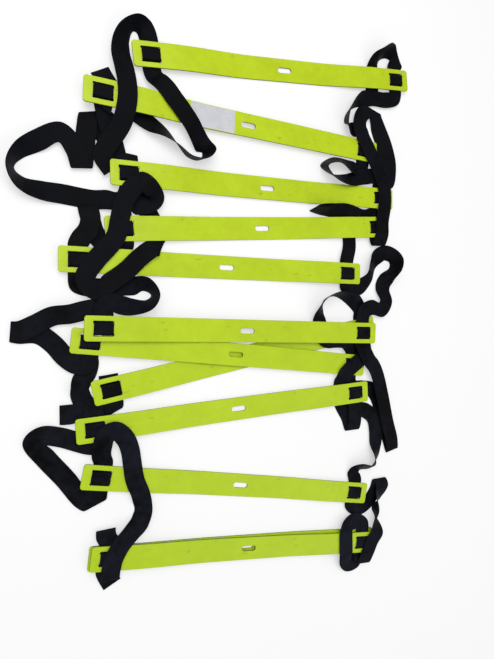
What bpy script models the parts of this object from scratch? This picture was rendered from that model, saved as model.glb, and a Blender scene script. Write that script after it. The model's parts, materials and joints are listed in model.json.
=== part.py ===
"""Agility ladder, gathered up as for storage: twelve flat plastic rungs threaded on two lengths of webbing.

Metres, +Z up. X runs along the rungs and Y along the ladder, with the first rung at +Y. Every rung has
two slots at each end. The webbing comes up through one slot, crosses the bar between them and goes down
through the other, and its slack lies in loops between one rung and the next.
"""

import math
from dataclasses import dataclass

import bmesh
import bpy
import numpy as np
from mathutils import Matrix, Vector

# Rung
RUNG_LONG = 0.510
RUNG_WIDE = 0.037
RUNG_THICK = 0.0030
RUNG_CORNER = 0.0042
RUNG_CHAMFER = 0.0006
BAR_WIDE = 0.0138
SLOT_WIDE = 0.0042
SLOT_LONG = 0.0298
SLOT_ROUND = 0.0016
THREAD_INSET = 0.0270
GRIP_LONG = 0.0250
GRIP_WIDE = 0.0082
# The middle stretch of a rung stays flat, and so does each end as far as its slots reach.
MIDDLE_FLAT = 0.120
END_FLAT = 0.062
CORNER_STEPS = 3
SLOT_STEPS = 2
GRIP_STEPS = 3
BEND_STATIONS = 5
CUT_OVERRUN = 0.002

# Webbing
WEB_WIDE = 0.0280
WEB_THICK = 0.0013
THREAD_GAP = 0.0005
MEET_GAP = 0.0006
TAIL_REACH = 0.0049
APPROACH_REACH = 0.0125
INNER_DROP = 0.0020
FLOOR_GAP = 0.0003
TRACE_STEP = 0.0012
RING_STEP = 0.0135
RING_TURN = math.radians(24)

# The gathered ladder is laid out on a grid: its steps follow the rungs' length along X, the heap's along
# Y, and the thickness of a rung and a webbing together upwards.
HEAP_LONG = 0.950
HEAP_STEPS = 950
RUNG_STEPS = 510
STACK_STEPS = 4.3
GRID_X = RUNG_LONG / RUNG_STEPS
GRID_Y = HEAP_LONG / HEAP_STEPS
GRID_Z = (RUNG_THICK + WEB_THICK) / STACK_STEPS
HEAP_X_STEPS = 17.6
HEAP_Y_STEPS = -34.7
# Shares of a thread's height above the rung's middle plane, through a slot and out of it.
SLOT_RISE_SHARE = 0.55
SLOT_LEAN_SHARE = 0.25
SLOT_TURN_REACH_SHARE = 0.70


@dataclass(frozen=True)
class Lay:
    """Where a rung lies: its middle and its plane's heights in grid steps, and its turn in degrees."""

    x: float
    y: float
    turn: float
    middle: float
    left: float
    right: float


LAY_SHARES = {
    1: Lay(66, 431, 6.1, 1.5, 10, 9),
    2: Lay(-3, 328, -2.4, 9, 18, 8),
    3: Lay(34, 233, 0.9, 3.5, 12, 9),
    4: Lay(26, 167, 4.3, 1.5, 8, 9),
    5: Lay(-37, 100, -0.5, 1.5, 9, 9),
    6: Lay(-4, -2, -1.6, 11, 16.5, 13),
    7: Lay(-23, -40, -6.4, 7.1, 9, 7.4),
    8: Lay(4, -43, 10.7, 1.5, 7, 4),
    9: Lay(-16, -129, 3.1, 3.5, 10, 8),
    10: Lay(-12, -257, -10.9, 1.5, 7, 7),
    11: Lay(1, -363, -7.5, 7, 12, 12),
    12: Lay(-1, -361, -6.6, 1.5, 5, 5),
}

UPPER, LOWER = 1, -1
# For each rung, the slot that the webbing comes up through, left then right.
ENTRY_SIDES = {
    1: (UPPER, UPPER),
    2: (UPPER, UPPER),
    3: (LOWER, UPPER),
    4: (UPPER, LOWER),
    5: (UPPER, UPPER),
    6: (UPPER, UPPER),
    7: (LOWER, LOWER),
    8: (LOWER, UPPER),
    9: (UPPER, LOWER),
    10: (LOWER, UPPER),
    11: (LOWER, LOWER),
    12: (UPPER, LOWER),
}
# Rungs whose webbing turns back under the bar as it leaves, left then right.
TURNS_UNDER = {3: (False, True), 6: (True, False), 7: (True, False), 9: (False, True)}

# The webbing's routes, in grid steps: x, y, height, and how far it leans onto its edge, in degrees.
LEFT_ROUTES = {
    "tail": [
        (-217, 232, 7.2, 0), (-230, 250, 8.3, 0), (-224, 268, 9.5, 0), (-212, 286, 12.5, 0),
        (-204, 301, 17, 0), (-200, 316, 21.2, 0), (-197, 338, 22, 0), (-198, 358, 21, 0),
        (-201, 378, 17, 0),
        (-205, 404, 11, 10), (-200, 430, 8, 40), (-186, 445, 9, 65), (-171, 444, 8, 30),
    ],
    1: [
        (-155, 377, 8.4, 0), (-148, 369, 15, 0), (-139, 359, 19.3, 0), (-128, 346, 19.8, 0),
        (-114, 331, 18.4, 0),
        (-100, 314, 16.6, 0), (-90, 301, 12, 0), (-80, 287, 8, 20), (-71, 278, 9, 55),
        (-81, 264, 13, 80), (-102, 265, 12, 80), (-120, 280, 9, 70), (-139, 296, 7, 45),
        (-164, 310, 5, 10), (-197, 331, 5, 0), (-222, 354, 7, 0), (-234, 370, 10, 0),
    ],
    2: [
        (-230, 317, 13, 0), (-220, 290, 7, 0), (-211, 260, 3.6, 0), (-209, 248, 2.2, 0),
        (-222, 274, 1.2, 0), (-238, 300, 2.6, 0), (-247, 312, 4.2, 0), (-252, 288, 5.6, 0),
        (-256, 250, 5.4, 0), (-259, 231, 6.8, 0), (-268, 256, 8.4, 0), (-287, 276, 8.6, 5),
        (-316, 261, 9, 20),
        (-341, 242, 10, 55), (-351, 222, 10, 70), (-339, 203, 8, 45), (-314, 195, 6, 15),
        (-285, 193, 2.4, 0), (-256, 190, 1.3, 0), (-242, 189, 2, 0), (-226, 190, 6, 0),
        (-204, 190, 8.2, 0),
    ],
    3: [
        (-195, 259, 7.6, 0), (-198, 249, 5.2, 0), (-192, 225, 5, 0), (-178, 198, 3.2, 0),
        (-160, 170, 3, 0), (-149, 143, 3, 0), (-143, 127.5, 6.0, 15), (-158, 124, 8.4, 16),
        (-178, 109, 11, 3), (-199, 88, 12, 0), (-222, 71, 12.4, 0), (-238, 58, 12.6, 0),
        (-253, 67, 12.8, 0),
        (-256, 78, 13.4, 0), (-241, 103, 14.2, 0), (-226, 120, 13.4, 0), (-213, 138, 13, 0),
        (-208, 160, 13, 0), (-203, 183, 12.5, 0), (-196, 199, 14.5, 0), (-186, 212, 16.4, 0),
        (-175, 219, 16.8, 0), (-165, 213, 17, 0), (-156, 199, 13.5, 0), (-162, 190, 8, 12),
        (-181, 186, 4.4, 0), (-196, 188, 4.2, 0),
    ],
    4: [
        (-201, 124, 3.4, 0), (-211, 121, 2.2, 0), (-223, 123, 2, 0), (-240, 140, 2.2, 0),
        (-248, 163, 4.6, 0), (-252, 179, 7, 0),
        (-248, 163, 9.2, 0), (-251, 146, 8.8, 0), (-261, 132, 6.6, 0),
    ],
    5: [
        (-264, 68, 3, 0), (-237, 63, 2, 0), (-204, 66, 2.2, 0), (-187, 67, 2.6, 5), (-170, 69, 7, 45),
        (-156, 54, 9, 75), (-165, 40, 9, 60), (-190, 36, 9, 25), (-206, 38, 12.9, 0),
        (-221, 41, 14.5, 0), (-230, 34, 14.3, 0),
    ],
    6: [
        (-236, 33, 9.8, 0), (-254, 31, 9.5, 0), (-277, 25, 9, 10), (-300, 22, 8, 10), (-321, 11, 6.5, 0),
        (-341, 2, 5, 0), (-353, 1, 3.5, 0), (-341, -2, 2, 0), (-318, -3, 2, 5), (-299, -17, 2.5, 10),
        (-284, -35, 5.2, 0), (-270, -46, 6.4, 0), (-257, -48, 6.8, 0),
    ],
    7: [
        (-251, -46, 3.4, 0), (-254, -59, 2.8, 0), (-261, -71, 2.8, 0), (-264, -82, 6, 20),
        (-263, -91, 3, 3), (-260, -99, 2.8, 0), (-249, -112, 2.8, 0), (-220, -122, 2.9, 0),
    ],
    8: [
        (-224, -64, 4, 0), (-223, -81, 1.5, 0), (-231, -104, 1.1, 0), (-255, -116, 1.1, 0),
        (-280, -118, 1.6, 0), (-291, -118, 3.3, 0), (-278, -118, 5.1, 0), (-262, -114, 4.7, 0),
        (-248, -109, 4.7, 0),
    ],
    9: [
        (-246, -165, 6.2, 0), (-256, -163, 5.5, 0), (-271, -157, 5, 0), (-291, -149, 5.5, 0),
        (-314, -145, 6, 0), (-326, -154, 4.5, 0), (-310, -178, 2.5, 0), (-284, -211, 2.5, 0),
        (-262, -242, 3, 0), (-244, -254, 4, 0),
    ],
    10: [
        (-235, -181, 8, 0), (-234, -165, 13.4, 0), (-229, -150, 15.4, 0), (-216, -145, 15.7, 0),
        (-202, -157, 13.4, 0), (-194, -176, 10, 0), (-191, -196, 10, 0), (-187, -222, 10.5, 0),
        (-178, -247, 9.6, 0), (-174, -270, 5, 30), (-180, -288, 9, 20), (-194, -301, 13.5, 0),
        (-209, -316, 15.8, 0), (-220, -334, 17.2, 0), (-224, -352, 15.4, 0), (-225, -366, 11.5, 0),
    ],
    11: [
        (-228, -303, 9, 0), (-229, -292, 6, 0), (-229, -303, 3, 0),
    ],
    12: [
        (-226, -366, 1.8, 0), (-220, -378, 1.2, 0),
    ],
}
RIGHT_ROUTES = {
    "tail": [
        (246, 407, 2, 0), (246, 432, 2, 0), (245, 460, 2.5, 0), (247, 482, 5.8, 33), (256, 492, 7, 60),
        (278, 504, 9, 45), (300, 498, 8, 0),
    ],
    1: [
        (293, 424, 5.5, 0), (273, 417, 5, 0), (240, 415, 5.1, 5), (205, 401, 7, 55), (186, 379, 8, 75),
        (184, 360, 8, 65), (201, 354, 6, 15), (221, 353, 5.4, 0),
    ],
    2: [
        (220, 285, 2.6, 0), (200, 287, 4, 25), (162, 293, 5, 60), (138, 280, 6, 75), (156, 266, 6.5, 62),
        (190, 263, 7.5, 35), (226, 272, 9, 4), (252, 274, 8, 0),
    ],
    3: [
        (284, 270, 3.5, 0), (283, 296, 4, 20), (272, 327, 5, 30), (260, 358, 5, 20), (254, 380, 3.5, 0),
        (246, 395, 5.2, 0), (219, 380, 9.3, 0), (213, 356, 12, 0), (228, 328, 13, 0),
        (245, 302, 12.7, 0),
        (261, 277, 11, 0), (268, 252, 13.5, 0), (269, 225, 13.5, 0), (264, 194, 13.6, 0),
        (264, 174, 13.8, 0), (262, 162, 11.8, 0), (259, 151, 8.4, 0),
    ],
    4: [
        (250, 207, 5, 0), (232, 201, 4.8, -5), (215, 202, 5, -18), (196, 206, 8, -32),
        (178, 208, 11, -42),
        (158, 209, 12, -62), (124, 208, 6, -80), (117, 205, 6, -85), (134, 203.5, 6, -72),
        (152, 205, 6, -55), (168, 206, 6, -38), (180, 204, 4, -20), (190, 196, 2.8, 0),
        (197, 172, 2.6, 0), (199, 146, 3.2, 0),
    ],
    5: [
        (200, 70, 4.5, 0), (220, 74, 3.5, 0), (240, 92, 6, 30), (248, 116, 6, 30), (265, 134, 3.2, 0),
        (282, 139, 3.5, 10), (297, 126, 8, 55), (295, 110, 8, 70), (278, 93, 7, 45), (272, 72, 6, 10),
        (280, 50, 7, 0), (268, 34, 9, 0), (246, 38, 9.5, 0), (229, 30, 10.2, 0),
    ],
    6: [
        (225.5, -37.6, 14.7, 0), (230, -47, 16, 0), (236, -57, 15.7, 0), (249, -70, 13.3, 0),
        (260, -88, 10.4, 0),
        (272, -125, 9, 0), (286, -178, 8, 0), (297, -212, 7, 0), (300, -232, 4.5, 0),
        (292, -206, 1.6, 0),
        (276, -172, 1.5, 0), (267, -134, 1.5, 0), (252, -114, 1.5, 0), (230, -110, 1.6, 0),
        (209, -106, 1.6, 0),
    ],
    7: [
        (202.5, -36, 6.2, 0), (195, -28.5, 9.4, 0), (186.5, -22, 9.8, 0), (171, -20, 9.3, 0),
        (150, -20, 8.8, 0), (136, -6, 8.4, 0),
        (135, 12, 7.6, 0), (136, 32, 8, 40), (142, 50, 8, 70), (166, 61, 8, 75), (196, 53, 8, 55),
        (216, 44, 3.4, 12), (224, 33, 1.9, 0),
    ],
    8: [
        (235, -32, 3.4, 0), (231, -45, 9.8, 0), (216, -58.5, 12.4, 0), (203, -67, 12.6, 0),
        (187, -81, 12, 0),
        (184, -89.5, 8.6, 0), (182, -94.5, 5.7, 0), (181, -101, 4.8, 0), (180, -112, 4.3, 0),
        (181, -125, 2, 0), (188, -140, 1.2, 0),
        (200, -160, 1.1, 0), (209, -185, 3.4, 0), (213, -172, 5.4, 0),
    ],
    9: [
        (222, -147, 3.8, 0), (238, -152, 3.6, 0), (255, -166, 3.4, 0), (261, -190, 3.6, 0),
        (262, -212, 3.9, 0), (260, -236, 6, 35), (248, -255, 7, 60), (223, -254, 6, 45),
        (214, -265, 4, 0),
    ],
    10: [
        (224, -332, 3, 0), (246, -325, 1.5, 0), (264, -305, 1.5, 0), (272, -283, 3, 0),
        (277, -296, 6, 0),
        (267, -315, 7, 30), (255, -335, 8, 80), (257, -358, 11, 40), (259, -377, 15.5, 0),
        (247, -392, 17.2, 0), (238, -411, 16.5, 0), (229, -432, 12.3, 0),
    ],
    11: [
        (229, -361, 9, 0), (213, -352, 9.5, 10), (196, -356, 13, 0), (190, -370, 15.5, 0),
        (190, -388, 15.6, 0),
        (190, -409, 15.6, 0), (193, -422, 10.6, 0), (204, -432, 5, 0), (219, -430, 3, 0),
    ],
    12: [
        (228.6, -361, 2, 0), (229, -357, 1.9, 0),
    ],
}
LIME = ("lime_plastic", (0.54, 0.66, 0.018, 1.0), 0.42)
BLACK = ("black_webbing", (0.012, 0.014, 0.022, 1.0), 0.85)


def clear_scene():
    for obj in list(bpy.data.objects):
        bpy.data.objects.remove(obj, do_unlink=True)


def material(name, colour, roughness):
    made = bpy.data.materials.new(name)
    made.use_nodes = True
    shader = made.node_tree.nodes["Principled BSDF"]
    shader.inputs["Base Color"].default_value = colour
    shader.inputs["Roughness"].default_value = roughness
    shader.inputs["Metallic"].default_value = 0.0
    return made


def add_object(name, mesh, finish):
    obj = bpy.data.objects.new(name, mesh)
    obj.data.materials.append(finish)
    bpy.context.scene.collection.objects.link(obj)
    return obj


# Rungs


def rounded_outline(long, wide, corner, steps):
    """Corners of a rectangle with round corners, counter-clockwise."""
    points = []
    for turn, (sx, sy) in enumerate(((1, 1), (-1, 1), (-1, -1), (1, -1))):
        centre = Vector((sx * (long / 2 - corner), sy * (wide / 2 - corner)))
        for step in range(steps + 1):
            angle = math.pi / 2 * (turn + step / steps)
            points.append(centre + corner * Vector((math.cos(angle), math.sin(angle))))
    return points


def loft(outlines):
    """A closed mesh through flat outlines of the same count, each given with its height."""
    shape = bmesh.new()
    rings = [[shape.verts.new((p.x, p.y, z)) for p in outline] for outline, z in outlines]
    for low, high in zip(rings, rings[1:]):
        for i in range(len(low)):
            j = (i + 1) % len(low)
            shape.faces.new((low[i], low[j], high[j], high[i]))
    shape.faces.new(list(reversed(rings[0])))
    shape.faces.new(rings[-1])
    return shape


def rung_blank():
    """The bar before its slots are cut, with a small chamfer round both faces."""
    full = rounded_outline(RUNG_LONG, RUNG_WIDE, RUNG_CORNER, CORNER_STEPS)
    inset = rounded_outline(
        RUNG_LONG - 2 * RUNG_CHAMFER, RUNG_WIDE - 2 * RUNG_CHAMFER, RUNG_CORNER - RUNG_CHAMFER, CORNER_STEPS
    )
    half = RUNG_THICK / 2
    return loft([(inset, -half), (full, RUNG_CHAMFER - half), (full, half - RUNG_CHAMFER), (inset, half)])


def slot_cutter(x, y, long, wide, corner, steps):
    half = RUNG_THICK / 2 + CUT_OVERRUN
    outline = [Vector((x, y)) + p for p in rounded_outline(long, wide, corner, steps)]
    return loft([(outline, -half), (outline, half)])


def slot_middle():
    """How far the middle of a webbing slot is from the rung's centre line."""
    return (BAR_WIDE + SLOT_WIDE) / 2


def cut(target, cutter_shape, name):
    """Takes a cutter out of the target with an exact Boolean, and removes the cutter."""
    mesh = bpy.data.meshes.new(name)
    cutter_shape.to_mesh(mesh)
    cutter_shape.free()
    cutter = bpy.data.objects.new(name, mesh)
    cutter.hide_render = True
    cutter.display_type = "WIRE"
    bpy.context.scene.collection.objects.link(cutter)
    modifier = target.modifiers.new(name, "BOOLEAN")
    modifier.operation = "DIFFERENCE"
    modifier.solver = "EXACT"
    modifier.object = cutter
    graph = bpy.context.evaluated_depsgraph_get()
    result = bpy.data.meshes.new_from_object(target.evaluated_get(graph))
    target.modifiers.clear()
    target.data = result
    bpy.data.objects.remove(cutter, do_unlink=True)


def flat_rung(finish):
    """One straight rung with its four webbing slots and the grip slot in its middle."""
    mesh = bpy.data.meshes.new("rung_blank")
    blank = rung_blank()
    blank.to_mesh(mesh)
    blank.free()
    rung = add_object("rung_blank", mesh, finish)
    for end in (-1, 1):
        for side in (UPPER, LOWER):
            x = end * (RUNG_LONG / 2 - THREAD_INSET)
            cutter = slot_cutter(x, side * slot_middle(), SLOT_LONG, SLOT_WIDE, SLOT_ROUND, SLOT_STEPS)
            cut(rung, cutter, "slot_cutter")
    cut(rung, slot_cutter(0, 0, GRIP_LONG, GRIP_WIDE, GRIP_WIDE / 2, GRIP_STEPS), "grip_cutter")
    return rung


def bend_height(x, lay):
    """The height of a rung's middle plane, x along it: level in the middle and at both ends."""
    start = MIDDLE_FLAT / 2
    share = (abs(x) - start) / (RUNG_LONG / 2 - END_FLAT - start)
    share = min(1, max(0, share))
    end = lay.left if x < 0 else lay.right
    return GRID_Z * (lay.middle + (end - lay.middle) * share * share * (3 - 2 * share))


def bent_mesh(flat, lay, name):
    """The straight rung's mesh, cut across at even stations and bent to the heights of its lay."""
    shape = bmesh.new()
    shape.from_mesh(flat)
    start = MIDDLE_FLAT / 2
    run = RUNG_LONG / 2 - END_FLAT - start
    for end in (-1, 1):
        for station in range(BEND_STATIONS + 1):
            x = end * (start + run * station / BEND_STATIONS)
            geometry = shape.verts[:] + shape.edges[:] + shape.faces[:]
            bmesh.ops.bisect_plane(shape, geom=geometry, plane_co=(x, 0, 0), plane_no=(1, 0, 0))
    for vert in shape.verts:
        vert.co.z += bend_height(vert.co.x, lay)
    mesh = bpy.data.meshes.new(name)
    shape.to_mesh(mesh)
    shape.free()
    return mesh


def rung_matrix(lay):
    place = Matrix.Translation((GRID_X * (lay.x + HEAP_X_STEPS), GRID_Y * (lay.y + HEAP_Y_STEPS), 0))
    return place @ Matrix.Rotation(math.radians(lay.turn), 4, "Z")


def add_rungs(finish):
    flat = flat_rung(finish)
    rungs = {}
    for number, lay in LAY_SHARES.items():
        name = f"rung_{number:02d}"
        rung = add_object(name, bent_mesh(flat.data, lay, name), finish)
        rung.location = rung_matrix(lay).to_translation()
        rung.rotation_euler.z = math.radians(lay.turn)
        rungs[number] = rung
    bpy.data.objects.remove(flat, do_unlink=True)
    return rungs


# Webbing


def thread_lift():
    """The webbing's height over the middle plane where it crosses the bar."""
    return (RUNG_THICK + WEB_THICK) / 2 + THREAD_GAP


def slot_passage(side, rising):
    """The points of the webbing through one slot, from the tail outside it to the bar."""
    lift = thread_lift()
    middle = slot_middle()
    near = SLOT_LEAN_SHARE * SLOT_WIDE / 2
    far = SLOT_TURN_REACH_SHARE * SLOT_WIDE / 2
    points = [
        (side * (middle + TAIL_REACH), -lift),
        (side * (middle + far), -lift),
        (side * (middle + near), -SLOT_RISE_SHARE * lift),
        (side * middle, 0),
        (side * (middle - near), SLOT_RISE_SHARE * lift),
        (side * (middle - far), lift),
    ]
    return points if rising else points[::-1]


def under_passage(side):
    """The points of the webbing down through a slot and back under the bar, past the other edge."""
    lift = thread_lift()
    middle = slot_middle()
    near = SLOT_LEAN_SHARE * SLOT_WIDE / 2
    far = SLOT_TURN_REACH_SHARE * SLOT_WIDE / 2
    low = -lift - INNER_DROP
    return [
        (side * (middle - far), lift),
        (side * (middle - near), SLOT_RISE_SHARE * lift),
        (side * middle, 0),
        (side * (middle - near), -SLOT_RISE_SHARE * lift),
        (side * (middle - far), -lift),
        (side * BAR_WIDE / 4, -lift),
        (-side * BAR_WIDE / 4, low),
        (-side * (middle + TAIL_REACH), low),
    ]


class End:
    """One end of a rung, where the webbing is threaded."""

    def __init__(self, number, hand):
        self.lay = LAY_SHARES[number]
        self.entry = ENTRY_SIDES[number][hand]
        self.under = TURNS_UNDER.get(number, (False, False))[hand]
        self.x = (-1 if hand == 0 else 1) * (RUNG_LONG / 2 - THREAD_INSET)
        self.matrix = rung_matrix(self.lay)

    def world(self, points):
        height = bend_height(self.x, self.lay)
        return [self.matrix @ Vector((self.x, y, height + z)) for y, z in points]

    def thread(self):
        exit_side = -self.entry
        lift = thread_lift()
        crossing = [(self.entry * BAR_WIDE / 4, lift), (0, lift), (exit_side * BAR_WIDE / 4, lift)]
        leaving = under_passage(exit_side) if self.under else slot_passage(exit_side, False)
        return self.world(slot_passage(self.entry, True) + crossing + leaving)

    def leaving_run(self):
        """A point just clear of the rung, on the way out."""
        if self.under:
            reach = slot_middle() + APPROACH_REACH
            return self.world([(self.entry * reach, -thread_lift() - INNER_DROP)])
        return self.world([(-self.entry * (slot_middle() + APPROACH_REACH), -thread_lift())])

    def arriving_run(self):
        """Points up to the face that meets this end's thread."""
        reach = slot_middle() + TAIL_REACH + MEET_GAP
        lift = -thread_lift()
        start = slot_middle() + APPROACH_REACH
        return self.world([(self.entry * start, lift), (self.entry * reach, lift)])


def route_points(route):
    """A route's points in metres, and its leans in radians."""
    points = [
        Vector((GRID_X * (x + HEAP_X_STEPS), GRID_Y * (y + HEAP_Y_STEPS), GRID_Z * z))
        for x, y, z, _ in route
    ]
    return points, [math.radians(lean) for _, _, _, lean in route]


def webbing_guide(number, hand, routes):
    """Every guide point of one piece of webbing with its lean: tail, thread and span to the next rung."""
    end = End(number, hand)
    points, leans = [], []
    if number == 1:
        tail, tail_leans = route_points(routes["tail"])
        points += tail + end.arriving_run()[:1]
        leans += tail_leans + [0.0]
    thread = end.thread() + end.leaving_run()
    points += thread
    leans += [0.0] * len(thread)
    span, span_leans = route_points(routes[number])
    points += span
    leans += span_leans
    if number + 1 in LAY_SHARES:
        arriving = End(number + 1, hand).arriving_run()
        points += arriving
        leans += [math.pi * round(span_leans[-1] / math.pi)] * len(arriving)
    return points, leans


def headings(points):
    """The direction of the webbing's width in plan at each point: a fold back keeps it, a bend turns it."""
    runs = [b - a for a, b in zip(points, points[1:])]
    angles = []
    for run in runs:
        if run.xy.length < WEB_THICK / 2:
            angles.append(angles[-1] if angles else 0.0)
            continue
        angle = math.atan2(run.y, run.x) + math.pi / 2
        if angles:
            change = (angle - angles[-1] + math.pi / 2) % math.pi - math.pi / 2
            angle = angles[-1] + change
        angles.append(angle)
    return [angles[0]] + [(a + b) / 2 for a, b in zip(angles, angles[1:])] + [angles[-1]]


def smooth_trace(values, knots):
    """Catmull-Rom values between the knots, with the step between traced places a fixed length."""
    values = np.asarray(values, float)
    values = np.vstack([2 * values[0] - values[1], values, 2 * values[-1] - values[-2]])
    knots = np.concatenate([[2 * knots[0] - knots[1]], knots, [2 * knots[-1] - knots[-2]]])
    traced = []
    for i in range(1, len(values) - 2):
        span = np.linalg.norm(values[i + 1, :3] - values[i, :3])
        count = max(2, int(math.ceil(span / TRACE_STEP)))
        last = i == len(values) - 3
        steps = np.linspace(knots[i], knots[i + 1], count, endpoint=False).tolist()
        for t in steps + [knots[i + 1]] * last:
            a = [
                values[k] + (values[k + 1] - values[k]) * (t - knots[k]) / (knots[k + 1] - knots[k])
                for k in (i - 1, i, i + 1)
            ]
            b = [
                a[k] + (a[k + 1] - a[k]) * (t - knots[i - 1 + k]) / (knots[i + 1 + k] - knots[i - 1 + k])
                for k in (0, 1)
            ]
            traced.append(b[0] + (b[1] - b[0]) * (t - knots[i]) / (knots[i + 1] - knots[i]))
    return np.array(traced)


def ribbon_frames(points, leans):
    """Centres, width directions and normals along a piece of webbing, as rings for its mesh."""
    places = np.array([list(p) for p in points])
    spacing = np.sqrt(np.linalg.norm(np.diff(places, axis=0), axis=1))
    knots = np.concatenate([[0.0], np.cumsum(spacing)])
    rows = np.column_stack([places, headings(points), leans])
    traced = smooth_trace(rows, knots)
    centres, heading, lean = traced[:, :3].copy(), traced[:, 3], traced[:, 4]
    rest = np.abs(np.sin(lean)) * WEB_WIDE / 2 + WEB_THICK / 2 + FLOOR_GAP
    centres[:, 2] = np.maximum(centres[:, 2], rest)
    tangents = np.gradient(centres, axis=0)
    tangents /= np.linalg.norm(tangents, axis=1)[:, None]
    widths = np.column_stack(
        [np.cos(heading) * np.cos(lean), np.sin(heading) * np.cos(lean), np.sin(lean)]
    )
    normals = np.cross(tangents, widths)
    normals /= np.linalg.norm(normals, axis=1)[:, None]
    return centres, widths, normals, tangents


def kept_rings(centres, widths, tangents):
    """The traced places that get a ring: more where the webbing turns or twists."""
    kept = [0]
    for i in range(1, len(centres) - 1):
        last = kept[-1]
        turn = math.acos(max(-1.0, min(1.0, float(tangents[i] @ tangents[last]))))
        twist = math.acos(max(-1.0, min(1.0, float(widths[i] @ widths[last]))))
        if np.linalg.norm(centres[i] - centres[last]) > RING_STEP or max(turn, twist) > RING_TURN:
            kept.append(i)
    return kept + [len(centres) - 1]


def ribbon_mesh(name, points, leans, to_local):
    centres, widths, normals, tangents = ribbon_frames(points, leans)
    shape = bmesh.new()
    rings = []
    for i in kept_rings(centres, widths, tangents):
        corners = []
        for across, up in ((-1, -1), (1, -1), (1, 1), (-1, 1)):
            corner = centres[i] + across * WEB_WIDE / 2 * widths[i] + up * WEB_THICK / 2 * normals[i]
            corners.append(shape.verts.new(to_local @ Vector(corner)))
        rings.append(corners)
    for near, far in zip(rings, rings[1:]):
        for i in range(4):
            j = (i + 1) % 4
            shape.faces.new((near[i], near[j], far[j], far[i]))
    shape.faces.new(list(reversed(rings[0])))
    shape.faces.new(rings[-1])
    bmesh.ops.recalc_face_normals(shape, faces=shape.faces[:])
    mesh = bpy.data.meshes.new(name)
    shape.to_mesh(mesh)
    shape.free()
    length = float(np.linalg.norm(np.diff(centres, axis=0), axis=1).sum())
    return mesh, length


def add_webbing(rungs, finish):
    for hand, (side, routes) in enumerate((("left", LEFT_ROUTES), ("right", RIGHT_ROUTES))):
        total = 0.0
        for number, rung in rungs.items():
            name = f"webbing_{side}_{number:02d}"
            matrix = rung_matrix(LAY_SHARES[number])
            points, leans = webbing_guide(number, hand, routes)
            mesh, length = ribbon_mesh(name, points, leans, matrix.inverted())
            piece = add_object(name, mesh, finish)
            piece.parent = rung
            total += length
            print(f"{name}: {length:.3f} m")
        print(f"{side} webbing: {total:.2f} m")


def main():
    clear_scene()
    lime = material(*LIME)
    black = material(*BLACK)
    rungs = add_rungs(lime)
    add_webbing(rungs, black)


main()
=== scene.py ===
"""Dresses a gathered agility ladder: lime plastic rungs threaded on two lengths of black webbing.

Metres, +Z up. X runs along the rungs and Y along the ladder, with the first rung at +Y. The rungs get
rounded edges and a smooth bend, and the webbing gets its woven surface, over the same route that its
solids follow.
"""

from __future__ import annotations

import json
import logging
import math
from dataclasses import dataclass, field
from enum import Enum

import bmesh
import bpy
import numpy as np
from mathutils import Matrix, Vector

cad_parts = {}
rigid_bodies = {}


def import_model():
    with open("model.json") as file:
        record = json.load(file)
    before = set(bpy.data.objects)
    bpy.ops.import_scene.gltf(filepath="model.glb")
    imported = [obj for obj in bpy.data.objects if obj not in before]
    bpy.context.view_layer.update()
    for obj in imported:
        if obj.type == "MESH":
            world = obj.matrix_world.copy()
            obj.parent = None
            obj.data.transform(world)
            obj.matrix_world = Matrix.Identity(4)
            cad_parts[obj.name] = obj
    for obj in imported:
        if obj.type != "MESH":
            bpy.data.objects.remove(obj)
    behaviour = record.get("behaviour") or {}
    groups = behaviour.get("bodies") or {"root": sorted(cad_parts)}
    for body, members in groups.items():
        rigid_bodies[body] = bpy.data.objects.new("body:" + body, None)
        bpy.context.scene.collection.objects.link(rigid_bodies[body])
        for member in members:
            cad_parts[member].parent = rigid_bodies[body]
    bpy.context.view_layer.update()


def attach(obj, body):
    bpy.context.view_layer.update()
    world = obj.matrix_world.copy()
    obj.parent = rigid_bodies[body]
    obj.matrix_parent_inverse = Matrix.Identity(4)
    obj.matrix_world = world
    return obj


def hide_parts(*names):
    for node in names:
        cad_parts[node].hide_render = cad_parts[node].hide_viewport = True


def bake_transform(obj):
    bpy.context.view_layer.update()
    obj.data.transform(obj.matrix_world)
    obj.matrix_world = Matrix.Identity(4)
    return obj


LOG = logging.getLogger("agility_ladder")

Colour = tuple[float, float, float, float]
Place = tuple[float, float, float]
Route = list[tuple[float, float, float, float]]

MM = 0.001
WHITE: Colour = (1.0, 1.0, 1.0, 1.0)
# The mesh attribute that says how far painted light shifts a rung's or its webbing's colour, from 0 to
# 1, more down the ladder.
LIGHT_SHIFT = "fading"
MOTTLE = "mottle"


class Side(Enum):
    """Which of the two lengths of webbing, seen with the first rung at the top."""

    LEFT = "left"
    RIGHT = "right"


class Slot(Enum):
    """One of the two webbing slots at a rung's end."""

    UPPER = 1
    LOWER = -1


@dataclass(frozen=True)
class Lay:
    """Where a rung lies, in mm and degrees: its middle, its turn, and its middle plane's heights."""

    x: float
    y: float
    turn: float
    middle: float
    left: float
    right: float


@dataclass(frozen=True)
class Lacing:
    """How the webbing is laced at a rung: the slots it comes up through, and where it turns under."""

    left: Slot
    right: Slot
    left_under: bool = False
    right_under: bool = False


# From the frame of the lays and routes to the object's, whose origin is the middle of its box.
HEAP_SHIFT = Vector((17.6 * MM, -34.7 * MM, 0))

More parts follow.
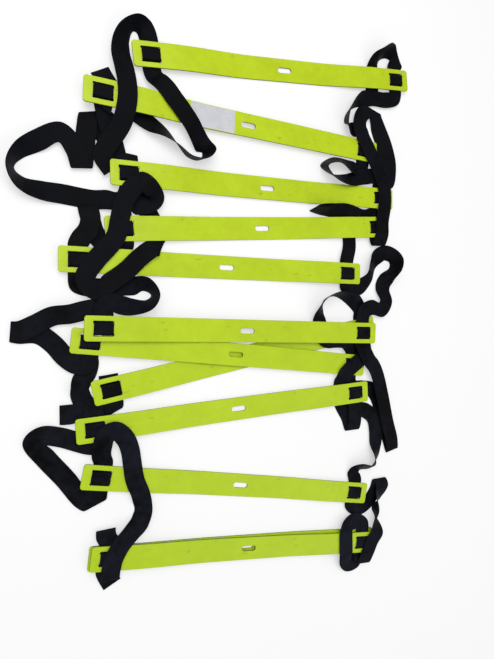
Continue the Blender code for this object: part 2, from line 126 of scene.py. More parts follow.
LAYS = {
    1: Lay(66, 431, 6.1, 1.5, 10, 9),
    2: Lay(-3, 328, -2.4, 9, 18, 8),
    3: Lay(34, 233, 0.9, 3.5, 12, 9),
    4: Lay(26, 167, 4.3, 1.5, 8, 9),
    5: Lay(-37, 100, -0.5, 1.5, 9, 9),
    6: Lay(-4, -2, -1.6, 11, 16.5, 13),
    7: Lay(-23, -40, -6.4, 7.1, 9, 7.4),
    8: Lay(4, -43, 10.7, 1.5, 7, 4),
    9: Lay(-16, -129, 3.1, 3.5, 10, 8),
    10: Lay(-12, -257, -10.9, 1.5, 7, 7),
    11: Lay(1, -363, -7.5, 7, 12, 12),
    12: Lay(-1, -361, -6.6, 1.5, 5, 5),
}

LACINGS = {
    1: Lacing(Slot.UPPER, Slot.UPPER),
    2: Lacing(Slot.UPPER, Slot.UPPER),
    3: Lacing(Slot.LOWER, Slot.UPPER, right_under=True),
    4: Lacing(Slot.UPPER, Slot.LOWER),
    5: Lacing(Slot.UPPER, Slot.UPPER),
    6: Lacing(Slot.UPPER, Slot.UPPER, left_under=True),
    7: Lacing(Slot.LOWER, Slot.LOWER, left_under=True),
    8: Lacing(Slot.LOWER, Slot.UPPER),
    9: Lacing(Slot.UPPER, Slot.LOWER, right_under=True),
    10: Lacing(Slot.LOWER, Slot.UPPER),
    11: Lacing(Slot.LOWER, Slot.LOWER),
    12: Lacing(Slot.UPPER, Slot.LOWER),
}

# The webbing's routes in mm: x, y, height, and how far it leans onto its edge, in degrees.
LEFT_ROUTES: dict[int | str, Route] = {
    "tail": [
        (-217, 232, 7.2, 0), (-230, 250, 8.3, 0), (-224, 268, 9.5, 0), (-212, 286, 12.5, 0),
        (-204, 301, 17, 0), (-200, 316, 21.2, 0), (-197, 338, 22, 0), (-198, 358, 21, 0),
        (-201, 378, 17, 0), (-205, 404, 11, 10), (-200, 430, 8, 40), (-186, 445, 9, 65),
        (-171, 444, 8, 30),
    ],
    1: [
        (-155, 377, 8.4, 0), (-148, 369, 15, 0), (-139, 359, 19.3, 0), (-128, 346, 19.8, 0),
        (-114, 331, 18.4, 0), (-100, 314, 16.6, 0), (-90, 301, 12, 0), (-80, 287, 8, 20),
        (-71, 278, 9, 55), (-81, 264, 13, 80), (-102, 265, 12, 80), (-120, 280, 9, 70),
        (-139, 296, 7, 45), (-164, 310, 5, 10), (-197, 331, 5, 0), (-222, 354, 7, 0),
        (-234, 370, 10, 0),
    ],
    2: [
        (-230, 317, 13, 0), (-220, 290, 7, 0), (-211, 260, 3.6, 0), (-209, 248, 2.2, 0),
        (-222, 274, 1.2, 0), (-238, 300, 2.6, 0), (-247, 312, 4.2, 0), (-252, 288, 5.6, 0),
        (-256, 250, 5.4, 0), (-259, 231, 6.8, 0), (-268, 256, 8.4, 0), (-287, 276, 8.6, 5),
        (-316, 261, 9, 20), (-341, 242, 10, 55), (-351, 222, 10, 70), (-339, 203, 8, 45),
        (-314, 195, 6, 15), (-285, 193, 2.4, 0), (-256, 190, 1.3, 0), (-242, 189, 2, 0),
        (-226, 190, 6, 0), (-204, 190, 8.2, 0),
    ],
    3: [
        (-195, 259, 7.6, 0), (-198, 249, 5.2, 0), (-192, 225, 5, 0), (-178, 198, 3.2, 0),
        (-160, 170, 3, 0), (-149, 143, 3, 0), (-143, 127.5, 6.0, 15), (-158, 124, 8.4, 16),
        (-178, 109, 11, 3), (-199, 88, 12, 0), (-222, 71, 12.4, 0), (-238, 58, 12.6, 0),
        (-253, 67, 12.8, 0), (-256, 78, 13.4, 0), (-241, 103, 14.2, 0), (-226, 120, 13.4, 0),
        (-213, 138, 13, 0), (-208, 160, 13, 0), (-203, 183, 12.5, 0), (-196, 199, 14.5, 0),
        (-186, 212, 16.4, 0), (-175, 219, 16.8, 0), (-165, 213, 17, 0), (-156, 199, 13.5, 0),
        (-162, 190, 8, 12), (-181, 186, 4.4, 0), (-196, 188, 4.2, 0),
    ],
    4: [
        (-201, 124, 3.4, 0), (-211, 121, 2.2, 0), (-223, 123, 2, 0), (-240, 140, 2.2, 0),
        (-248, 163, 4.6, 0), (-252, 179, 7, 0), (-248, 163, 9.2, 0), (-251, 146, 8.8, 0),
        (-261, 132, 6.6, 0),
    ],
    5: [
        (-264, 68, 3, 0), (-237, 63, 2, 0), (-204, 66, 2.2, 0), (-187, 67, 2.6, 5), (-170, 69, 7, 45),
        (-156, 54, 9, 75), (-165, 40, 9, 60), (-190, 36, 9, 25), (-206, 38, 12.9, 0),
        (-221, 41, 14.5, 0), (-230, 34, 14.3, 0),
    ],
    6: [
        (-236, 33, 9.8, 0), (-254, 31, 9.5, 0), (-277, 25, 9, 10), (-300, 22, 8, 10),
        (-321, 11, 6.5, 0), (-341, 2, 5, 0), (-353, 1, 3.5, 0), (-341, -2, 2, 0), (-318, -3, 2, 5),
        (-299, -17, 2.5, 10), (-284, -35, 5.2, 0), (-270, -46, 6.4, 0), (-257, -48, 6.8, 0),
    ],
    7: [
        (-251, -46, 3.4, 0), (-254, -59, 2.8, 0), (-261, -71, 2.8, 0), (-264, -82, 6, 20),
        (-263, -91, 3, 3), (-260, -99, 2.8, 0), (-249, -112, 2.8, 0), (-220, -122, 2.9, 0),
    ],
    8: [
        (-224, -64, 4, 0), (-223, -81, 1.5, 0), (-231, -104, 1.1, 0), (-255, -116, 1.1, 0),
        (-280, -118, 1.6, 0), (-291, -118, 3.3, 0), (-278, -118, 5.1, 0), (-262, -114, 4.7, 0),
        (-248, -109, 4.7, 0),
    ],
    9: [
        (-246, -165, 6.2, 0), (-256, -163, 5.5, 0), (-271, -157, 5, 0), (-291, -149, 5.5, 0),
        (-314, -145, 6, 0), (-326, -154, 4.5, 0), (-310, -178, 2.5, 0), (-284, -211, 2.5, 0),
        (-262, -242, 3, 0), (-244, -254, 4, 0),
    ],
    10: [
        (-235, -181, 8, 0), (-234, -165, 13.4, 0), (-229, -150, 15.4, 0), (-216, -145, 15.7, 0),
        (-202, -157, 13.4, 0), (-194, -176, 10, 0), (-191, -196, 10, 0), (-187, -222, 10.5, 0),
        (-178, -247, 9.6, 0), (-174, -270, 5, 30), (-180, -288, 9, 20), (-194, -301, 13.5, 0),
        (-209, -316, 15.8, 0), (-220, -334, 17.2, 0), (-224, -352, 15.4, 0), (-225, -366, 11.5, 0),
    ],
    11: [
        (-228, -303, 9, 0), (-229, -292, 6, 0), (-229, -303, 3, 0),
    ],
    12: [
        (-226, -366, 1.8, 0), (-220, -378, 1.2, 0),
    ],
}
RIGHT_ROUTES: dict[int | str, Route] = {
    "tail": [
        (246, 407, 2, 0), (246, 432, 2, 0), (245, 460, 2.5, 0), (247, 482, 5.8, 33), (256, 492, 7, 60),
        (278, 504, 9, 45), (300, 498, 8, 0),
    ],
    1: [
        (293, 424, 5.5, 0), (273, 417, 5, 0), (240, 415, 5.1, 5), (205, 401, 7, 55), (186, 379, 8, 75),
        (184, 360, 8, 65), (201, 354, 6, 15), (221, 353, 5.4, 0),
    ],
    2: [
        (220, 285, 2.6, 0), (200, 287, 4, 25), (162, 293, 5, 60), (138, 280, 6, 75),
        (156, 266, 6.5, 62), (190, 263, 7.5, 35), (226, 272, 9, 4), (252, 274, 8, 0),
    ],
    3: [
        (284, 270, 3.5, 0), (283, 296, 4, 20), (272, 327, 5, 30), (260, 358, 5, 20), (254, 380, 3.5, 0),
        (246, 395, 5.2, 0), (219, 380, 9.3, 0), (213, 356, 12, 0), (228, 328, 13, 0),
        (245, 302, 12.7, 0), (261, 277, 11, 0), (268, 252, 13.5, 0), (269, 225, 13.5, 0),
        (264, 194, 13.6, 0), (264, 174, 13.8, 0), (262, 162, 11.8, 0), (259, 151, 8.4, 0),
    ],
    4: [
        (250, 207, 5, 0), (232, 201, 4.8, -5), (215, 202, 5, -18), (196, 206, 8, -32),
        (178, 208, 11, -42), (158, 209, 12, -62), (124, 208, 6, -80), (117, 205, 6, -85),
        (134, 203.5, 6, -72), (152, 205, 6, -55), (168, 206, 6, -38), (180, 204, 4, -20),
        (190, 196, 2.8, 0), (197, 172, 2.6, 0), (199, 146, 3.2, 0),
    ],
    5: [
        (200, 70, 4.5, 0), (220, 74, 3.5, 0), (240, 92, 6, 30), (248, 116, 6, 30), (265, 134, 3.2, 0),
        (282, 139, 3.5, 10), (297, 126, 8, 55), (295, 110, 8, 70), (278, 93, 7, 45), (272, 72, 6, 10),
        (280, 50, 7, 0), (268, 34, 9, 0), (246, 38, 9.5, 0), (229, 30, 10.2, 0),
    ],
    6: [
        (225.5, -37.6, 14.7, 0), (230, -47, 16, 0), (236, -57, 15.7, 0), (249, -70, 13.3, 0),
        (260, -88, 10.4, 0), (272, -125, 9, 0), (286, -178, 8, 0), (297, -212, 7, 0),
        (300, -232, 4.5, 0), (292, -206, 1.6, 0), (276, -172, 1.5, 0), (267, -134, 1.5, 0),
        (252, -114, 1.5, 0), (230, -110, 1.6, 0), (209, -106, 1.6, 0),
    ],
    7: [
        (202.5, -36, 6.2, 0), (195, -28.5, 9.4, 0), (186.5, -22, 9.8, 0), (171, -20, 9.3, 0),
        (150, -20, 8.8, 0), (136, -6, 8.4, 0), (135, 12, 7.6, 0), (136, 32, 8, 40), (142, 50, 8, 70),
        (166, 61, 8, 75), (196, 53, 8, 55), (216, 44, 3.4, 12), (224, 33, 1.9, 0),
    ],
    8: [
        (235, -32, 3.4, 0), (231, -45, 9.8, 0), (216, -58.5, 12.4, 0), (203, -67, 12.6, 0),
        (187, -81, 12, 0), (184, -89.5, 8.6, 0), (182, -94.5, 5.7, 0), (181, -101, 4.8, 0),
        (180, -112, 4.3, 0), (181, -125, 2, 0), (188, -140, 1.2, 0), (200, -160, 1.1, 0),
        (209, -185, 3.4, 0), (213, -172, 5.4, 0),
    ],
    9: [
        (222, -147, 3.8, 0), (238, -152, 3.6, 0), (255, -166, 3.4, 0), (261, -190, 3.6, 0),
        (262, -212, 3.9, 0), (260, -236, 6, 35), (248, -255, 7, 60), (223, -254, 6, 45),
        (214, -265, 4, 0),
    ],
    10: [
        (224, -332, 3, 0), (246, -325, 1.5, 0), (264, -305, 1.5, 0), (272, -283, 3, 0),
        (277, -296, 6, 0), (267, -315, 7, 30), (255, -335, 8, 80), (257, -358, 11, 40),
        (259, -377, 15.5, 0), (247, -392, 17.2, 0), (238, -411, 16.5, 0), (229, -432, 12.3, 0),
    ],
    11: [
        (229, -361, 9, 0), (213, -352, 9.5, 10), (196, -356, 13, 0), (190, -370, 15.5, 0),
        (190, -388, 15.6, 0), (190, -409, 15.6, 0), (193, -422, 10.6, 0), (204, -432, 5, 0),
        (219, -430, 3, 0),
    ],
    12: [
        (228.6, -361, 2, 0), (229, -357, 1.9, 0),
    ],
}


def rung_name(number: int) -> str:
    """The name of a rung's body, which is also its solid's."""
    return f"rung_{number:02d}"


def bar_name(number: int) -> str:
    """The name of a rung's dressed piece."""
    return f"bar_{number:02d}"


def ladder_share(number: int) -> float:
    """How far along the ladder a rung comes, from 0 to 1: the last rungs get the most painted light."""
    return (number - 1) / (len(LAYS) - 1)


def between(a: np.ndarray, b: np.ndarray, start: float, end: float, t: float) -> np.ndarray:
    """The value at t on the line from a at start to b at end."""
    return a + (b - a) * (t - start) / (end - start)


def placed(route: Route) -> tuple[list[Vector], list[float]]:
    """A route's points in metres, and its leans in radians."""
    points = [Vector((x * MM, y * MM, z * MM)) + HEAP_SHIFT for x, y, z, _ in route]
    return points, [math.radians(lean) for *_, lean in route]


def closed_mesh(work: bmesh.types.BMesh, name: str, sharp_angle: float = 0.0) -> bpy.types.Mesh:
    """Turns a work mesh into a mesh with its faces outwards, and frees it.

    Args:
        work: The closed work mesh.
        name: The new mesh's name.
        sharp_angle: The angle from which an edge is sharp in a smooth mesh, or 0 for flat faces.

    Returns:
        The mesh.
    """
    bmesh.ops.recalc_face_normals(work, faces=work.faces[:])
    mesh = bpy.data.meshes.new(name)
    work.to_mesh(mesh)
    work.free()
    if sharp_angle > 0:
        mesh.shade_smooth()
        mesh.set_sharp_from_angle(angle=sharp_angle)
    return mesh


@dataclass
class RungShape:
    """A flat moulded rung: sizes in metres, and the meshes made from them."""

    long: float = 0.510
    wide: float = 0.037
    thick: float = 0.0030
    corner: float = 0.0042
    edge_round: float = 0.0006
    bar_wide: float = 0.0138
    slot_wide: float = 0.0042
    slot_long: float = 0.0298
    slot_corner: float = 0.0016
    thread_inset: float = 0.0270
    grip_long: float = 0.0250
    grip_wide: float = 0.0082
    middle_flat: float = 0.120
    end_flat: float = 0.062
    corner_steps: int = 5
    edge_steps: int = 3
    bend_stations: int = 26
    weld: float = 0.00001
    sharp_angle: float = math.radians(35)

    @property
    def slot_middle(self) -> float:
        """How far the middle of a webbing slot is from the rung's centre line."""
        return (self.bar_wide + self.slot_wide) / 2

    @property
    def thread_x(self) -> float:
        """How far along the rung the middle of the webbing crosses it."""
        return self.long / 2 - self.thread_inset

    def outline(
        self, long: float, wide: float, corner: float, x: float = 0.0, y: float = 0.0
    ) -> list[Vector]:
        """Corners of a rectangle with round corners, counter-clockwise.

        Args:
            long: The rectangle's size along X.
            wide: Its size along Y.
            corner: The radius of its corners.
            x: Its middle along X.
            y: Its middle along Y.

        Returns:
            The outline's points, at height 0.
        """
        points = []
        for turn, (sx, sy) in enumerate(((1, 1), (-1, 1), (-1, -1), (1, -1))):
            centre = Vector((x + sx * (long / 2 - corner), y + sy * (wide / 2 - corner), 0))
            for step in range(self.corner_steps + 1):
                angle = math.pi / 2 * (turn + step / self.corner_steps)
                points.append(centre + corner * Vector((math.cos(angle), math.sin(angle), 0)))
        return points

    def flat_mesh(self) -> bpy.types.Mesh:
        """Makes the straight rung with its slots and rounded edges.

        Returns:
            A closed mesh about the rung's middle.
        """
        curve = bpy.data.curves.new("rung_outline", "CURVE")
        curve.dimensions = "2D"
        curve.fill_mode = "BOTH"
        curve.extrude = self.thick / 2 - self.edge_round
        curve.bevel_depth = self.edge_round
        curve.bevel_resolution = self.edge_steps
        soft = self.edge_round
        outlines = [self.outline(self.long - 2 * soft, self.wide - 2 * soft, self.corner - soft)]
        for end in (-1, 1):
            for side in (-1, 1):
                outlines.append(
                    self.outline(
                        self.slot_long + 2 * soft,
                        self.slot_wide + 2 * soft,
                        self.slot_corner + soft,
                        end * self.thread_x,
                        side * self.slot_middle,
                    )
                )
        # The grip slot's ends stay just short of full half circles, so that no two points coincide.
        grip = self.grip_wide + 2 * soft
        outlines.append(self.outline(self.grip_long + 2 * soft, grip, grip / 2 - soft / 4))
        for points in outlines:
            spline = curve.splines.new("POLY")
            spline.points.add(len(points) - 1)
            for place, point in zip(spline.points, points):
                place.co = (*point, 1)
            spline.use_cyclic_u = True
        holder = bpy.data.objects.new("rung_outline", curve)
        bpy.context.scene.collection.objects.link(holder)
        graph = bpy.context.evaluated_depsgraph_get()
        mesh = bpy.data.meshes.new_from_object(holder.evaluated_get(graph))
        bpy.data.objects.remove(holder, do_unlink=True)
        bpy.data.curves.remove(curve)
        return mesh

    def height(self, x: float, lay: Lay) -> float:
        """The height of the rung's middle plane, x along it, level in the middle and at both ends."""
        start = self.middle_flat / 2
        share = (abs(x) - start) / (self.long / 2 - self.end_flat - start)
        share = min(1.0, max(0.0, share))
        end = lay.left if x < 0 else lay.right
        return MM * (lay.middle + (end - lay.middle) * share * share * (3 - 2 * share))

    def place(self, lay: Lay) -> Matrix:
        """The matrix from the rung's own frame to the heap's."""
        centre = Vector((lay.x * MM, lay.y * MM, 0)) + HEAP_SHIFT
        return Matrix.Translation(centre) @ Matrix.Rotation(math.radians(lay.turn), 4, "Z")

    def bent_mesh(self, flat: bpy.types.Mesh, lay: Lay, age: float, name: str) -> bpy.types.Mesh:
        """Bends the straight rung to its lay.

        Args:
            flat: The straight rung's mesh.
            lay: Where the rung lies.
            age: How far painted light shifts its colour, from 0 to 1.
            name: The new mesh's name.

        Returns:
            The bent mesh, in the heap's frame.
        """
        shape = bmesh.new()
        shape.from_mesh(flat)
        bmesh.ops.remove_doubles(shape, verts=shape.verts[:], dist=self.weld)
        start = self.middle_flat / 2
        run = self.long / 2 - self.end_flat - start
        for end in (-1, 1):
            for station in range(self.bend_stations + 1):
                x = end * (start + run * station / self.bend_stations)
                geometry = shape.verts[:] + shape.edges[:] + shape.faces[:]
                bmesh.ops.bisect_plane(shape, geom=geometry, plane_co=(x, 0, 0), plane_no=(1, 0, 0))
        uv = shape.loops.layers.uv.new("along_rung")
        fading = shape.verts.layers.float.new(LIGHT_SHIFT)
        for face in shape.faces:
            for loop in face.loops:
                loop[uv].uv = (loop.vert.co.x, loop.vert.co.y)
        for vert in shape.verts:
            vert[fading] = age
            vert.co.z += self.height(vert.co.x, lay)
        shape.transform(self.place(lay))
        return closed_mesh(shape, name, self.sharp_angle)


@dataclass
class Label:
    """A blank paper label stuck across a rung's upper face."""

    start: float = -0.098
    end: float = -0.024
    margin: float = 0.0011
    thick: float = 0.00012
    lift: float = 0.00002
    steps: int = 30

    def mesh(self, rung: RungShape, lay: Lay) -> bpy.types.Mesh:
        """Makes the label, bent with the rung.

        Args:
            rung: The rung that carries it.
            lay: Where that rung lies.

        Returns:
            A thin closed mesh in the heap's frame.
        """
        shape = bmesh.new()
        half = rung.wide / 2 - self.margin
        profile = ((-half, 0), (half, 0), (half, self.thick), (-half, self.thick))
        rings = []
        for step in range(self.steps + 1):
            x = self.start + (self.end - self.start) * step / self.steps
            top = rung.height(x, lay) + rung.thick / 2 + self.lift
            rings.append([shape.verts.new((x, y, top + up)) for y, up in profile])
        for near, far in zip(rings, rings[1:]):
            for i in range(4):
                j = (i + 1) % 4
                shape.faces.new((near[i], near[j], far[j], far[i]))
        shape.faces.new(rings[0])
        shape.faces.new(rings[-1])
        shape.transform(rung.place(lay))
        return closed_mesh(shape, "paper_label")


@dataclass
class WebbingShape:
    """Flat woven webbing, laced through the rungs: sizes in metres, and the pieces made from them."""

    rung: RungShape
    # The strap itself: its rims are thinner than its middle.
    wide: float = 0.0280
    thick: float = 0.0013
    across: tuple[float, ...] = (-1, -0.97, -0.88, -0.6, -0.3, 0, 0.3, 0.6, 0.88, 0.97, 1)
    shoulder: float = 0.95
    edge_thin: float = 0.45
    shoulder_thin: float = 0.86
    # Where it runs at a rung's end.
    thread_gap: float = 0.0005
    meet_gap: float = 0.0006
    tail_reach: float = 0.0049
    approach_reach: float = 0.0125
    inner_drop: float = 0.0020
    floor_gap: float = 0.0003
    rise_share: float = 0.55
    lean_share: float = 0.25
    reach_share: float = 0.70
    # How finely it is traced, and where its mesh gets rings.
    trace_step: float = 0.0012
    ring_step: float = 0.0024
    ring_turn: float = math.radians(5)
    sharp_angle: float = math.radians(62)
    # The slab in which a piece's stretch is found: it lies between the two threads.
    thread_reach: float = 0.0160
    end_points: int = 4
    slab: float = 0.0140
    slab_tries: int = 60
    slab_turns: tuple[float, ...] = (0, -15, 15, -30, 30, -45, 45)
    side_cost: float = 6.0

    @property
    def lift(self) -> float:
        """The webbing's height over a rung's middle plane where it crosses the bar."""
        return (self.rung.thick + self.thick) / 2 + self.thread_gap

    @property
    def slot_places(self) -> tuple[float, float, float]:
        """A slot's distance from the rung's centre line, and the webbing's lean and reach in it."""
        half = self.rung.slot_wide / 2
        return self.rung.slot_middle, self.lean_share * half, self.reach_share * half

    def passage(self, slot: Slot, rising: bool) -> list[tuple[float, float]]:
        """The webbing's points through one slot, as (y, z) in the rung's frame."""
        side = slot.value
        middle, near, far = self.slot_places
        points = [
            (side * (middle + self.tail_reach), -self.lift),
            (side * (middle + far), -self.lift),
            (side * (middle + near), -self.rise_share * self.lift),
            (side * middle, 0),
            (side * (middle - near), self.rise_share * self.lift),
            (side * (middle - far), self.lift),
        ]
        return points if rising else points[::-1]

    def under_passage(self, slot: Slot) -> list[tuple[float, float]]:
        """The webbing's points down through a slot and back under the bar."""
        side = slot.value
        middle, near, far = self.slot_places
        low = -self.lift - self.inner_drop
        bar = self.rung.bar_wide / 4
        return [
            (side * (middle - far), self.lift),
            (side * (middle - near), self.rise_share * self.lift),
            (side * middle, 0),
            (side * (middle - near), -self.rise_share * self.lift),
            (side * (middle - far), -self.lift),
            (side * bar, -self.lift),
            (-side * bar, low),
            (-side * (middle + self.tail_reach), low),
        ]


@dataclass
class RungEnd:
    """One end of a rung, where the webbing is threaded."""

    shape: WebbingShape
    number: int
    side: Side

    def __post_init__(self) -> None:
        """Looks up the rung's lay and lacing."""
        lacing = LACINGS[self.number]
        is_left = self.side is Side.LEFT
        self.lay = LAYS[self.number]
        self.entry = lacing.left if is_left else lacing.right
        self.exit = Slot(-self.entry.value)
        self.under = lacing.left_under if is_left else lacing.right_under
        self.x = self.shape.rung.thread_x * (-1 if is_left else 1)
        self.matrix = self.shape.rung.place(self.lay)

    def world(self, points: list[tuple[float, float]]) -> list[Vector]:
        """Points of the rung's cross-section, in the heap's frame."""
        height = self.shape.rung.height(self.x, self.lay)
        return [self.matrix @ Vector((self.x, y, height + z)) for y, z in points]

    def centre(self) -> Vector:
        """The middle of the webbing where it crosses the bar."""
        return self.world([(0.0, self.shape.lift)])[0]

    def thread(self) -> list[Vector]:
        """The webbing from the tail outside one slot, over the bar, to the far side of the other."""
        shape, side, bar = self.shape, self.entry.value, self.shape.rung.bar_wide / 4
        crossing = [(side * bar, shape.lift), (0, shape.lift), (-side * bar, shape.lift)]
        leaving = shape.under_passage(self.exit) if self.under else shape.passage(self.exit, False)
        return self.world(shape.passage(self.entry, True) + crossing + leaving)

    def leaving_run(self) -> list[Vector]:
        """A point just clear of the rung, on the way out."""
        shape = self.shape
        reach = shape.rung.slot_middle + shape.approach_reach
        if self.under:
            return self.world([(self.entry.value * reach, -shape.lift - shape.inner_drop)])
        return self.world([(self.exit.value * reach, -shape.lift)])

    def arriving_run(self) -> list[Vector]:
        """Points up to the face that meets this end's thread."""
        shape, side = self.shape, self.entry.value
        middle = shape.rung.slot_middle
        reaches = (middle + shape.approach_reach, middle + shape.tail_reach + shape.meet_gap)
        return self.world([(side * reach, -shape.lift) for reach in reaches])


@dataclass
class WebbingPiece:
    """One length of webbing, from its slots in one rung to its slots in the next."""

    shape: WebbingShape
    number: int
    side: Side

    def __post_init__(self) -> None:
        """Traces the piece, and measures its flat length."""
        self.centres, self.widths, self.normals, self.tangents = self.frames()
        steps = np.linalg.norm(np.diff(self.centres, axis=0), axis=1)
        self.along = np.concatenate([[0.0], np.cumsum(steps)])
        self.length = float(self.along[-1])

    @property
    def name(self) -> str:
        """The piece's name."""
        return f"strap_{self.side.value}_{self.number:02d}"

    @property
    def node(self) -> str:
        """The solid that this piece stands for."""
        return f"webbing_{self.side.value}_{self.number:02d}"

    def guide(self) -> tuple[list[Vector], list[float]]:
        """Every guide point of the piece, with how far the webbing leans there.

        Returns:
            The points in metres, and the leans in radians.
        """
        routes = LEFT_ROUTES if self.side is Side.LEFT else RIGHT_ROUTES
        end = RungEnd(self.shape, self.number, self.side)
        points: list[Vector] = []
        leans: list[float] = []
        if self.number == 1:
            tail, tail_leans = placed(routes["tail"])
            points += tail + end.arriving_run()[:1]
            leans += tail_leans + [0.0]
        thread = end.thread() + end.leaving_run()
        points += thread
        leans += [0.0] * len(thread)
        span, span_leans = placed(routes[self.number])
        points += span
        leans += span_leans
        if self.number + 1 in LAYS:
            arriving = RungEnd(self.shape, self.number + 1, self.side).arriving_run()
            points += arriving
            leans += [0.0] * len(arriving)
        return points, leans

    def headings(self, points: list[Vector]) -> list[float]:
        """The width's direction in plan at each point: a fold back keeps it, and a bend turns it."""
        angles: list[float] = []
        for run in (b - a for a, b in zip(points, points[1:])):
            if run.xy.length < self.shape.thick / 2:
                angles.append(angles[-1] if angles else 0.0)
                continue
            angle = math.atan2(run.y, run.x) + math.pi / 2
            if angles:
                change = (angle - angles[-1] + math.pi / 2) % math.pi - math.pi / 2
                angle = angles[-1] + change
            angles.append(angle)
        return [angles[0]] + [(a + b) / 2 for a, b in zip(angles, angles[1:])] + [angles[-1]]

    def smooth(self, rows: np.ndarray, knots: np.ndarray) -> np.ndarray:
        """Catmull-Rom values between the knots, at even steps along the webbing.

        Args:
            rows: One row of values for each guide point, its place first.
            knots: The curve's parameter at each guide point.

        Returns:
            The rows of values along the curve.
        """
        rows = np.vstack([2 * rows[0] - rows[1], rows, 2 * rows[-1] - rows[-2]])
        knots = np.concatenate([[2 * knots[0] - knots[1]], knots, [2 * knots[-1] - knots[-2]]])
        traced = []
        for i in range(1, len(rows) - 2):
            span = np.linalg.norm(rows[i + 1, :3] - rows[i, :3])
            count = max(2, int(math.ceil(span / self.shape.trace_step)))
            places = np.linspace(knots[i], knots[i + 1], count, endpoint=False).tolist()
            if i == len(rows) - 3:
                places.append(knots[i + 1])
            for t in places:
                a = [between(rows[k], rows[k + 1], knots[k], knots[k + 1], t) for k in (i - 1, i, i + 1)]
                b = [between(a[k], a[k + 1], knots[i - 1 + k], knots[i + 1 + k], t) for k in (0, 1)]
                traced.append(between(b[0], b[1], knots[i], knots[i + 1], t))
        return np.array(traced)

    def frames(self) -> tuple[np.ndarray, np.ndarray, np.ndarray, np.ndarray]:
        """Centres, width directions, normals and tangents along the piece."""
        shape = self.shape
        points, leans = self.guide()
        places = np.array([list(p) for p in points])
        spacing = np.sqrt(np.linalg.norm(np.diff(places, axis=0), axis=1))
        knots = np.concatenate([[0.0], np.cumsum(spacing)])
        rows = np.column_stack([places, self.headings(points), leans])
        traced = self.smooth(rows, knots)
        centres, heading, lean = traced[:, :3].copy(), traced[:, 3], traced[:, 4]
        rest = np.abs(np.sin(lean)) * shape.wide / 2 + shape.thick / 2 + shape.floor_gap
        centres[:, 2] = np.maximum(centres[:, 2], rest)
        tangents = np.gradient(centres, axis=0)
        tangents /= np.linalg.norm(tangents, axis=1)[:, None]
        flat = np.cos(lean)
        widths = np.column_stack([np.cos(heading) * flat, np.sin(heading) * flat, np.sin(lean)])
        normals = np.cross(tangents, widths)
        normals /= np.linalg.norm(normals, axis=1)[:, None]
        return centres, widths, normals, tangents

    def kept(self) -> list[int]:
        """The traced places that get a ring: more where the webbing turns or twists."""
        shape, centres, widths, tangents = self.shape, self.centres, self.widths, self.tangents
        found = [0]
        for i in range(1, len(centres) - 1):
            last = found[-1]
            turn = math.acos(max(-1.0, min(1.0, float(tangents[i] @ tangents[last]))))
            twist = math.acos(max(-1.0, min(1.0, float(widths[i] @ widths[last]))))
            far = np.linalg.norm(centres[i] - centres[last]) > shape.ring_step
            if far or max(turn, twist) > shape.ring_turn:
                found.append(i)
        return found + [len(centres) - 1]

    def profile(self) -> list[tuple[float, float]]:
        """The webbing's cross-section, in half widths and half thicknesses, thinner at the edges."""
        shape = self.shape
        rims = []
        for u in shape.across:
            thin = shape.shoulder_thin if abs(u) > shape.shoulder else 1.0
            rims.append((u, shape.edge_thin if abs(u) == 1 else thin))
        return [(u, -v) for u, v in rims] + [(u, v) for u, v in reversed(rims)]

    def mesh(self) -> bpy.types.Mesh:
        """Makes the piece's closed mesh, with a UV map in metres across and along the webbing."""
        half, rise = self.shape.wide / 2, self.shape.thick / 2
        profile = self.profile()
        work = bmesh.new()
        uv = work.loops.layers.uv.new("weave")
        rings, kept = [], self.kept()
        for i in kept:
            centre, width, normal = self.centres[i], half * self.widths[i], rise * self.normals[i]
            rings.append([work.verts.new(centre + u * width + v * normal) for u, v in profile])
        count = len(profile)
        for k, (near, far) in enumerate(zip(rings, rings[1:])):
            for i in range(count):
                j = (i + 1) % count
                face = work.faces.new((near[i], near[j], far[j], far[i]))
                places = ((i, k), (j, k), (j, k + 1), (i, k + 1))
                for loop, (column, row) in zip(face.loops, places):
                    loop[uv].uv = (profile[column][0] * half, self.along[kept[row]])
        for ring, row in ((rings[0], 0), (rings[-1], len(rings) - 1)):
            face = work.faces.new(ring)
            for loop, (u, _) in zip(face.loops, profile):
                loop[uv].uv = (u * half, self.along[kept[row]])
        mesh = closed_mesh(work, self.name, self.shape.sharp_angle)
        # Painted light: how far down the ladder the piece lies, which lightens its patches.
        fading = mesh.attributes.new(LIGHT_SHIFT, "FLOAT", "POINT")
        fading.data.foreach_set("value", [ladder_share(self.number)] * len(mesh.vertices))
        return mesh

    def stretch(self) -> tuple[Vector, Vector]:
        """The stretch of the piece, between its two threads, that holds the least webbing.

        Returns:
            Its start and end: along the ladder or turned from it, or else from thread to thread or
            downwards, where the two rungs' ends lie close together or stacked.
        """
        shape = self.shape
        near = RungEnd(shape, self.number, self.side).centre()
        far = RungEnd(shape, self.number + 1, self.side).centre()
        side = math.copysign(1.0, far.y - near.y)
        turns = [math.radians(turn) for turn in (shape.slab_turns if side < 0 else (0,))]
        fan = [(Vector((math.sin(turn), side * math.cos(turn), 0.0)), shape.slab) for turn in turns]
        straight = [((far - near).normalized(), shape.slab / 2)]
        down = [(Vector((0.0, 0.0, -1.0)), shape.thick)]
        for ways in (fan, straight, down):
            slabs = [self.quiet_slab(near, along, deep) for along, deep in ways]
            found = [slab for slab in slabs if slab]
            if found:
                return min(found, key=lambda slab: slab[0])[1:]
        LOG.warning("%s: no place to draw out between its rungs", self.name)
        return near, far

